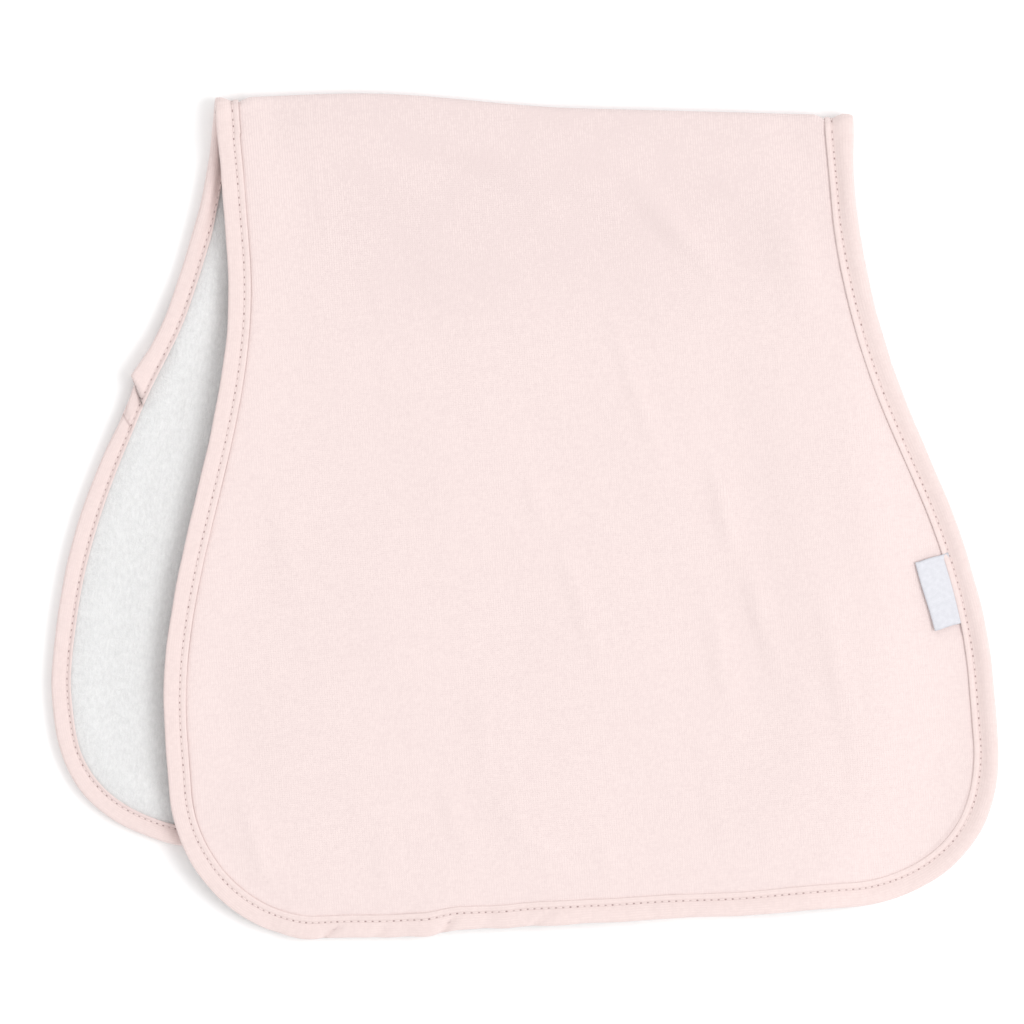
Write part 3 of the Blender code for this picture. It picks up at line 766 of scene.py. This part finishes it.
def binding(outline, shift):
    """One strip round the whole edge; its far end climbs over its start and is cut on the slant."""
    start = outline.arc_at(-LAP_START, right=False)
    length = outline.length + LAP_LENGTH
    runs = np.linspace(0.0, length, int(length / BINDING_STEP))
    profile = len(LEAF_PROFILE)
    place = np.concatenate([np.arange(profile), np.arange(profile)[::-1]])
    side = np.repeat([1.0, -1.0], profile)
    steps = np.array(LEAF_PROFILE)[place, 0]
    hidden = np.array([(inset, -w) for inset, w in LEAF_LINING[::-1]] + LEAF_LINING)
    place, side, run = np.broadcast_arrays(place, side, runs[:, None])
    arc = start + run + lap_slant(outline, run) * steps
    inset, w = leaf(outline, arc, place, side)
    w = w + side * (lap_lift(outline, run) - np.where(side < 0, lap_crease(run, steps), 0.0))
    inset = inset + lap_tuck(run, steps) - lap_corner(outline, run, steps)
    inset = inset - fold_corner(outline, arc, steps)
    inset = inset - edge_wander(arc) * (1.0 - smooth(steps / 5.0))
    under = start + runs[:, None] + lap_slant(outline, runs[:, None]) * hidden[:, 0]
    under_w = hidden[:, 1] + np.sign(hidden[:, 1]) * lap_lift(outline, runs[:, None])
    curled = np.maximum(rolled_share(*outline.at(under, hidden[:, 0])), BACK_RIM_SHARE)
    curled = curled * smooth((hidden[:, 0] - 4.5) / 1.8) * (hidden[:, 1] < 0)
    under_inset = hidden[:, 0] - ROLL_IN * curled
    arc = np.concatenate([arc, under], axis=1)
    inset = np.concatenate([inset, under_inset], axis=1)
    w = np.concatenate([w, under_w], axis=1)
    points = lay(*outline.at(arc, inset), w).reshape(-1, 3)
    count = arc.shape[1]
    base = np.arange(len(runs) - 1)[:, None] * count
    here = np.arange(count)[None, :]
    after = (here + 1) % count
    faces = np.stack([base + here, base + after, base + count + after, base + count + here], axis=-1)
    faces = faces.reshape(-1, 4).tolist()
    faces.append(list(range(count))[::-1])
    faces.append(list(range((len(runs) - 1) * count, len(runs) * count)))
    made = add_piece("edge_binding", points - shift, faces)
    across = np.concatenate([unrolled_profile(), np.zeros(len(hidden))])
    keep_flat(made, np.broadcast_to(across, arc.shape).ravel(), arc.ravel(), inset.ravel())
    return made


def unrolled_profile():
    """Distances of the binding's outer points from its front inner edge, along its own surface."""
    front = np.array(LEAF_PROFILE)[:, :2]
    both = np.concatenate([front, front[::-1] * (1.0, -1.0)])
    return np.concatenate([[0.0], np.cumsum(np.hypot(*np.diff(both, axis=0).T))])


def stitches(outline, name, side, shift):
    """One row of short threads, each dipping into the binding at its two ends."""
    start = outline.arc_at(-LAP_START, right=False)
    count = int(outline.length / STITCH_PITCH)
    share = np.linspace(-1.0, 1.0, 5)
    reach = (STITCH_PITCH - STITCH_GAP) / 2.0
    turns = 2.0 * math.pi * np.arange(THREAD_SIDES) / THREAD_SIDES
    run = (np.arange(count)[:, None] + 0.5) * STITCH_PITCH + share * reach
    arc = start + run
    thick = THREAD_RADIUS * np.sqrt(np.maximum(1.0 - np.abs(share) ** 2.5, 0.12))[:, None]
    inset, level = leaf(outline, arc, np.full_like(arc, STITCH_PLACE), np.full_like(arc, side))
    level += side * (lap_lift(outline, run) + THREAD_PROUD - THREAD_SINK * share**4)
    across = (inset + 0.06 * waves(arc, (5.1, 9.7), (0.0, 2.2)))[..., None] + thick * np.cos(turns)
    height = level[..., None] + thick * np.sin(turns)
    s, t = outline.at(np.broadcast_to(arc[..., None], across.shape), across)
    points = lay(s, t, height).reshape(-1, 3)
    steps = len(share)
    ring = np.arange(THREAD_SIDES)
    after = (ring + 1) % THREAD_SIDES
    faces = []
    for number in range(count):
        first = number * steps * THREAD_SIDES
        for k in range(steps - 1):
            low = first + k * THREAD_SIDES
            faces += np.stack([low + ring, low + after, low + THREAD_SIDES + after, low + THREAD_SIDES + ring], 1).tolist()
        faces.append((first + ring[::-1]).tolist())
        faces.append((first + (steps - 1) * THREAD_SIDES + ring).tolist())
    return add_piece(name, points - shift, faces)


def label(shift):
    """A bare ribbon folded on its free side, its two ends under the binding's edge."""
    middle = np.array(LABEL_PATH)
    way = np.gradient(middle, axis=0)
    normal = np.stack([-way[:, 1], way[:, 0]], axis=1)
    normal /= np.linalg.norm(normal, axis=1, keepdims=True)
    section = np.concatenate([middle + normal * LABEL_THICK / 2.0, (middle - normal * LABEL_THICK / 2.0)[::-1]])
    unrolled = np.concatenate([[0.0], np.cumsum(np.hypot(*np.diff(middle, axis=0).T))])
    unrolled = np.concatenate([unrolled, unrolled[::-1]])
    depth, w, share = np.broadcast_arrays(*section.T, np.linspace(-1.0, 1.0, LABEL_STEPS)[:, None])
    free = smooth(1.0 - depth / LABEL_DEPTH)
    lifted = LABEL_CORNER_LIFT * free * (0.2 + 0.8 * smooth((np.abs(share) - 0.35) / 0.65) * (share > 0))
    along = share * LABEL_LENGTH / 2.0 + 0.10 * np.sin(depth)
    inwards = depth + 0.08 * np.sin(share * 4.0)
    s = LABEL_MIDDLE[0] + along * math.cos(LABEL_TURN) - inwards * math.sin(LABEL_TURN)
    t = LABEL_MIDDLE[1] + along * math.sin(LABEL_TURN) + inwards * math.cos(LABEL_TURN)
    points = lay(s, t, w + lifted).reshape(-1, 3)
    count = len(section)
    base = np.arange(LABEL_STEPS - 1)[:, None] * count
    here = np.arange(count)[None, :]
    after = (here + 1) % count
    faces = np.stack([base + here, base + after, base + count + after, base + count + here], axis=-1)
    faces = faces.reshape(-1, 4).tolist()
    for first in (0, (LABEL_STEPS - 1) * count):
        for k in range(count // 2 - 1):
            faces.append([first + k, first + k + 1, first + count - 2 - k, first + count - 1 - k])
    made = add_piece("folded_label", points - shift, faces)
    keep_flat(made, np.broadcast_to(unrolled, depth.shape).ravel(), along.ravel(), depth.ravel())
    return made


class Finish:
    """A material's nodes, added one at a time; an input takes a socket or a plain value."""

    def __init__(self, name, roughness, sheen):
        self.material = bpy.data.materials.new(name)
        self.material.use_nodes = True
        self.nodes = self.material.node_tree.nodes
        self.links = self.material.node_tree.links
        self.shader = self.nodes["Principled BSDF"]
        self.shader.inputs["Roughness"].default_value = roughness
        self.shader.inputs["Specular IOR Level"].default_value = 0.2
        self.shader.inputs["Sheen Weight"].default_value = sheen
        self.shader.inputs["Sheen Roughness"].default_value = 0.6
        place = self.add("ShaderNodeAttribute", {}, attribute_name="flat", output="Vector")
        self.place = place
        self.across, self.along, self.inset = self.parts(place)

    def add(self, kind, inputs, output=0, **settings):
        node = self.nodes.new(kind)
        for key, value in settings.items():
            setattr(node, key, value)
        for key, value in inputs.items():
            if isinstance(value, bpy.types.NodeSocket):
                self.links.new(value, node.inputs[key])
            else:
                node.inputs[key].default_value = value
        return node.outputs[output]

    def parts(self, vector):
        split = self.add("ShaderNodeSeparateXYZ", {0: vector}).node
        return split.outputs[0], split.outputs[1], split.outputs[2]

    def math(self, operation, first, second=0.0, third=0.0):
        return self.add("ShaderNodeMath", {0: first, 1: second, 2: third}, operation=operation)

    def noise(self, size, detail=2.0, roughness=0.5):
        """Noise whose spots measure size, as millimetres across and along the cloth."""
        sizes = (1.0 / size[0], 1.0 / size[1], 0.0)
        vector = self.add("ShaderNodeVectorMath", {0: self.place, 1: sizes}, operation="MULTIPLY")
        inputs = {"Vector": vector, "Scale": 1.0, "Detail": detail, "Roughness": roughness}
        return self.add("ShaderNodeTexNoise", inputs)

    def spread(self, value, low, high, to_low=0.0, to_high=1.0):
        inputs = {0: value, 1: low, 2: high, 3: to_low, 4: to_high}
        return self.add("ShaderNodeMapRange", inputs, interpolation_type="SMOOTHSTEP")

    def mix(self, share, first, second):
        """Colour between two others; the sockets are Blender's for a mix of colours."""
        inputs = {0: share, 6: first, 7: second}
        return self.add("ShaderNodeMix", inputs, output=2, data_type="RGBA")

    def sum(self, *terms):
        """Sum of values, each with its weight."""
        total = 0.0
        for value, weight in terms:
            total = self.math("MULTIPLY_ADD", value, weight, total)
        return total

    def bump(self, height, distance, strength=1.0):
        """Bump from a height between 0 and 1 that stands for a distance in millimetres."""
        inputs = {"Height": height, "Distance": distance * METRE, "Strength": strength}
        self.links.new(self.add("ShaderNodeBump", inputs), self.shader.inputs["Normal"])

    def colour(self, socket):
        self.links.new(socket, self.shader.inputs["Base Color"])


def loops(finish, wale, course):
    """Height of a jersey's loops: two slanting legs to each wale, between 0 and 1."""
    stray = finish.noise((3.0, 5.0))
    across = finish.sum((finish.across, 1.0 / wale), (stray, 0.5))
    leg = finish.math("PINGPONG", across, 0.5)
    row = finish.sum((finish.along, 1.0 / course), (leg, 1.6))
    ripple = finish.math("SINE", finish.math("MULTIPLY", row, 2.0 * math.pi))
    column = finish.math("SINE", finish.math("MULTIPLY", leg, 2.0 * math.pi))
    return finish.sum((column, 0.45), (ripple, 0.14), (leg, 0.30)), leg


def jersey(name, light, dark, wale, course):
    """A fine jersey with a faint melange: light and dark flecks drawn out both ways, and painted shade near the fold.
    """
    finish = Finish(name, roughness=0.92, sheen=0.18)
    height, leg = loops(finish, wale, course)
    upright = finish.noise((0.55, 3.2), detail=3.0)
    level = finish.noise((3.6, 0.6), detail=3.0)
    blotch = finish.noise((14.0, 11.0), detail=3.0)
    fine = finish.noise((1.5, 1.5), detail=3.0, roughness=0.7)
    patch = finish.noise((4.5, 3.6), detail=3.0)
    ribbed = finish.math("MULTIPLY", finish.math("SUBTRACT", leg, 0.25), finish.spread(blotch, 0.38, 0.62, 0.3, 1.6))
    from_fold = finish.math("ABSOLUTE", finish.along)
    ribbed = finish.math("MULTIPLY", ribbed, finish.spread(from_fold, 5.0, 60.0, 7.0, 1.0))
    ribbed = finish.math("MULTIPLY", ribbed, finish.spread(fine, 0.42, 0.58, 0.2, 1.8))
    flecks = finish.math("MULTIPLY", finish.math("SUBTRACT", fine, 0.5), finish.spread(from_fold, 5.0, 60.0, 2.3, 1.15))
    # painted shade: the jersey is darkened near the fold, across the middle of the cloth, where the folded cloth slopes
    # away from the light
    painted_fold_shade = finish.math("MULTIPLY", finish.spread(from_fold, 10.0, 80.0, 1.0, 0.0),
                         finish.spread(finish.across, 25.0, 90.0, 1.0, 0.25))
    painted_fold_shade = finish.math("MULTIPLY", painted_fold_shade, finish.spread(finish.across, -85.0, -35.0, 0.0, 1.0))
    tone = finish.sum((upright, 0.30), (level, 0.50), (blotch, 0.12), (patch, 0.36), (flecks, 0.98),
                      (ribbed, 0.50), (painted_fold_shade, -0.62))
    finish.colour(finish.mix(finish.spread(tone, 0.22, 1.02), dark, light))
    uneven = finish.sum((height, 0.7), (upright, 0.25), (level, 0.25), (fine, 0.2))
    finish.bump(uneven, 0.16, 0.75)
    return finish


def spots(finish, across_middle):
    """Share of painted shade: 1 in the needle's holes along a stitch row, a faint painted shadow along the thread's
    channel between them, 0 away from them.
    """
    stray = finish.noise((2.4, 2.4))
    beside = finish.math("ABSOLUTE", finish.math("SUBTRACT", finish.across, across_middle))
    near = finish.math("PINGPONG", finish.math("MULTIPLY", finish.along_strip, 1.0 / STITCH_PITCH), 0.5)
    narrow = finish.spread(beside, 0.10, 0.36, 1.0, 0.0)
    short = finish.spread(near, 0.06, 0.24, 1.0, 0.0)
    strength = finish.spread(stray, 0.35, 0.62, 0.42, 0.90)
    holes = finish.math("MULTIPLY", finish.math("MULTIPLY", narrow, short), strength)
    return finish.math("MAXIMUM", holes, finish.spread(beside, 0.22, 0.62, 0.12, 0.0))


def fleece():
    finish = Finish("white fleece", roughness=1.0, sheen=0.35)
    clump = finish.noise((1.5, 1.8), detail=4.0, roughness=0.65)
    drift = finish.noise((7.0, 9.0), detail=2.0)
    fibre = finish.noise((0.35, 0.5), detail=3.0, roughness=0.7)
    stroke = finish.noise((0.7, 2.6), detail=3.0, roughness=0.6)
    tone = finish.sum((clump, 0.42), (drift, 0.10), (fibre, 0.30), (stroke, 0.40))
    light, dark = (0.797, 0.797, 0.796, 1.0), (0.647, 0.647, 0.647, 1.0)
    finish.colour(finish.mix(finish.spread(tone, 0.36, 0.86), dark, light))
    finish.shader.inputs["Subsurface Weight"].default_value = 0.35
    finish.shader.inputs["Subsurface Radius"].default_value = (1.0, 1.0, 1.0)
    finish.shader.inputs["Subsurface Scale"].default_value = 0.003
    finish.bump(finish.sum((clump, 0.8), (fibre, 0.5)), 0.45, 0.8)
    return finish.material


def ribbon():
    finish = Finish("woven ribbon", roughness=0.55, sheen=0.1)
    warp = finish.math("SINE", finish.math("MULTIPLY", finish.across, 2.0 * math.pi / 0.36))
    slanting = finish.sum((finish.across, 1.0 / 0.5), (finish.along, 1.0 / 0.42))
    weft = finish.math("SINE", finish.math("MULTIPLY", slanting, 2.0 * math.pi))
    cloudy = finish.noise((1.4, 1.4), detail=3.0)
    tone = finish.sum((warp, 0.10), (weft, 0.16), (cloudy, 0.9))
    light, dark = (0.688, 0.690, 0.733, 1.0), (0.600, 0.602, 0.645, 1.0)
    finish.colour(finish.mix(finish.spread(tone, 0.2, 0.8), dark, light))
    finish.bump(finish.sum((warp, 0.3), (weft, 0.5)), 0.05, 0.6)
    return finish.material


def thread():
    finish = Finish("sewing thread", roughness=0.7, sheen=0.1)
    fine = finish.noise((0.3, 0.3))
    finish.colour(finish.mix(fine, (0.74, 0.60, 0.57, 1.0), (0.88, 0.77, 0.75, 1.0)))
    return finish.material


def floor_material():
    finish = Finish("pale floor", roughness=0.9, sheen=0.0)
    finish.shader.inputs["Base Color"].default_value = (0.95, 0.95, 0.95, 1.0)
    return finish.material


def face_material():
    """The panel's jersey, with painted shade along the binding's inner edge, strongest along the left side."""
    finish = jersey("pink jersey", (0.792, 0.666, 0.646, 1.0), (0.734, 0.611, 0.597, 1.0), 0.72, 0.62)
    plain = finish.shader.inputs["Base Color"].links[0].from_socket
    stray = finish.noise((30.0, 30.0))
    # painted shade: a dark brown line along the binding's inner edge, fading on the right and along the upper half's
    # end
    line = finish.spread(finish.inset, -0.1, 0.42, 1.0, 0.0)
    side = finish.spread(finish.across, -20.0, 20.0, 0.90, 0.12)
    side = finish.math("MULTIPLY", side, finish.spread(finish.along, 229.0, 239.0, 1.0, 0.18))
    share = finish.math("MULTIPLY", line, finish.spread(stray, 0.3, 0.6, 0.35, 1.0))
    share = finish.math("MULTIPLY", share, side)
    finish.colour(finish.mix(share, plain, (0.42, 0.30, 0.285, 1.0)))
    return finish.material


def slanting_line(finish, run, slant, strength):
    """Shade on the lower strip along a line that slants across it, run being where it starts."""
    outer_end = finish.math("MULTIPLY_ADD", finish.inset, -slant, finish.along_strip)
    beside = finish.math("ABSOLUTE", finish.math("SUBTRACT", outer_end, run))
    return finish.spread(beside, 0.15, 0.55, strength, 0.0)


def binding_material(outline):
    """The strip's jersey, with painted shade in its needle holes and along its stitch rows, under the lapped end and in
    the crease below it.
    """
    finish = jersey("pink binding jersey", (0.790, 0.656, 0.632, 1.0), (0.732, 0.602, 0.580, 1.0), 0.70, 0.58)
    plain = finish.shader.inputs["Base Color"].links[0].from_socket
    unrolled = unrolled_profile()
    start = outline.arc_at(-LAP_START, right=False)
    finish.along_strip = finish.math("SUBTRACT", finish.along, float(start))
    front, back = spots(finish, float(unrolled[STITCH_PLACE])), spots(finish, float(unrolled[-1 - STITCH_PLACE]))
    # painted shade under the lapped end's cut edge and in the crease below it
    lapped = slanting_line(finish, LAP_LENGTH, LAP_SLANT, 0.75)
    creased = slanting_line(finish, LAP_CREASE["run"], LAP_CREASE["slant"], 0.32)
    creased = finish.math("MULTIPLY", creased, finish.spread(finish.inset, 4.4, 5.2, 1.0, 0.0))
    # painted shade in the needle holes, along the stitch rows, under the lapped end and in its crease, mixed toward
    # dark brown
    painted_shade = finish.math("MAXIMUM", finish.math("MAXIMUM", front, back), finish.math("MAXIMUM", lapped, creased))
    finish.colour(finish.mix(painted_shade, plain, (0.27, 0.165, 0.16, 1.0)))
    return finish.material


def area_light(name, place, aim, size, power):
    data = bpy.data.lights.new(name, "AREA")
    data.shape = "DISK"
    data.size = size
    data.energy = power
    lamp = bpy.data.objects.new(name, data)
    lamp.location = place
    way = np.array(aim) - np.array(place)
    lamp.rotation_euler = (
        math.atan2(math.hypot(way[0], way[1]), -way[2]), 0.0, math.atan2(way[1], way[0]) - math.pi / 2.0
    )
    bpy.context.scene.collection.objects.link(lamp)


def studio():
    """Pale floor, an even pale surround and one large soft light from the upper right."""
    mesh = bpy.data.meshes.new("floor")
    half = FLOOR_SIZE / 2.0
    corners = [(-half, -half, 0.0), (half, -half, 0.0), (half, half, 0.0), (-half, half, 0.0)]
    mesh.from_pydata(corners, [], [(0, 1, 2, 3)])
    floor = bpy.data.objects.new("floor", mesh)
    mesh.materials.append(floor_material())
    bpy.context.scene.collection.objects.link(floor)
    world = bpy.data.worlds.new("pale surround")
    world.use_nodes = True
    surround = world.node_tree.nodes["Background"]
    surround.inputs["Color"].default_value = (1.0, 1.0, 1.0, 1.0)
    surround.inputs["Strength"].default_value = SURROUND
    bpy.context.scene.world = world
    area_light("soft light", LIGHT_PLACE, (0.0, 0.0, 0.0), LIGHT_SIZE, LIGHT_POWER)
    bpy.context.scene.view_settings.view_transform = "Standard"


def camera():
    """Straight above, a long way off, turned as the photo is."""
    data = bpy.data.cameras.new("camera")
    data.sensor_width = SENSOR
    data.lens = SENSOR * (CAMERA_HEIGHT - SHARP_HEIGHT) / VIEW_WIDTH
    made = bpy.data.objects.new("camera", data)
    made.location = (*CAMERA_OVER, CAMERA_HEIGHT)
    made.rotation_euler = (0.0, 0.0, CAMERA_TURN)
    bpy.context.scene.collection.objects.link(made)
    bpy.context.scene.camera = made


def plan_middle(low, high):
    return (np.array(low[:2]) + np.array(high[:2])) / 2.0


def frame_shift(outline):
    """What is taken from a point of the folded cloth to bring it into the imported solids' frame."""
    s, t = (outline.points + RIM_INSET * outline.inward).T
    across, away = np.meshgrid(np.linspace(-90.0, 90.0, 361), np.linspace(-4.0, 4.0, 33))
    fold = lay(away + across * math.tan(SKEW), across, FACE_OUT).reshape(-1, 3)
    points = np.concatenate([lay(s, t, FACE_OUT), lay(s, t, FACE_IN), fold])
    own = plan_middle(points.min(axis=0), points.max(axis=0))
    packed = plan_middle(*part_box("face_panel")) / METRE
    return np.array([*(own - packed), 0.0])


def dress(piece, material):
    piece.data.materials.append(material)
    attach(piece, "root")


def main():
    outline = Outline()
    shift = frame_shift(outline)
    face = sheet("jersey_panel", outline, face_under, face_top, shift)
    lining = sheet("fleece_panel", outline, fleece_back, fleece_seam, shift)
    edge = binding(outline, shift)
    front_row = stitches(outline, "front_stitches", 1.0, shift)
    back_row = stitches(outline, "back_stitches", -1.0, shift)
    tab = label(shift)
    dress(face, face_material())
    dress(lining, fleece())
    dress(edge, binding_material(outline))
    dress(tab, ribbon())
    sewing = thread()
    dress(front_row, sewing)
    dress(back_row, sewing)
    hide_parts("face_panel")
    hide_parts("lining_panel")
    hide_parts("binding")
    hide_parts("label")
    studio()
    camera()


main()
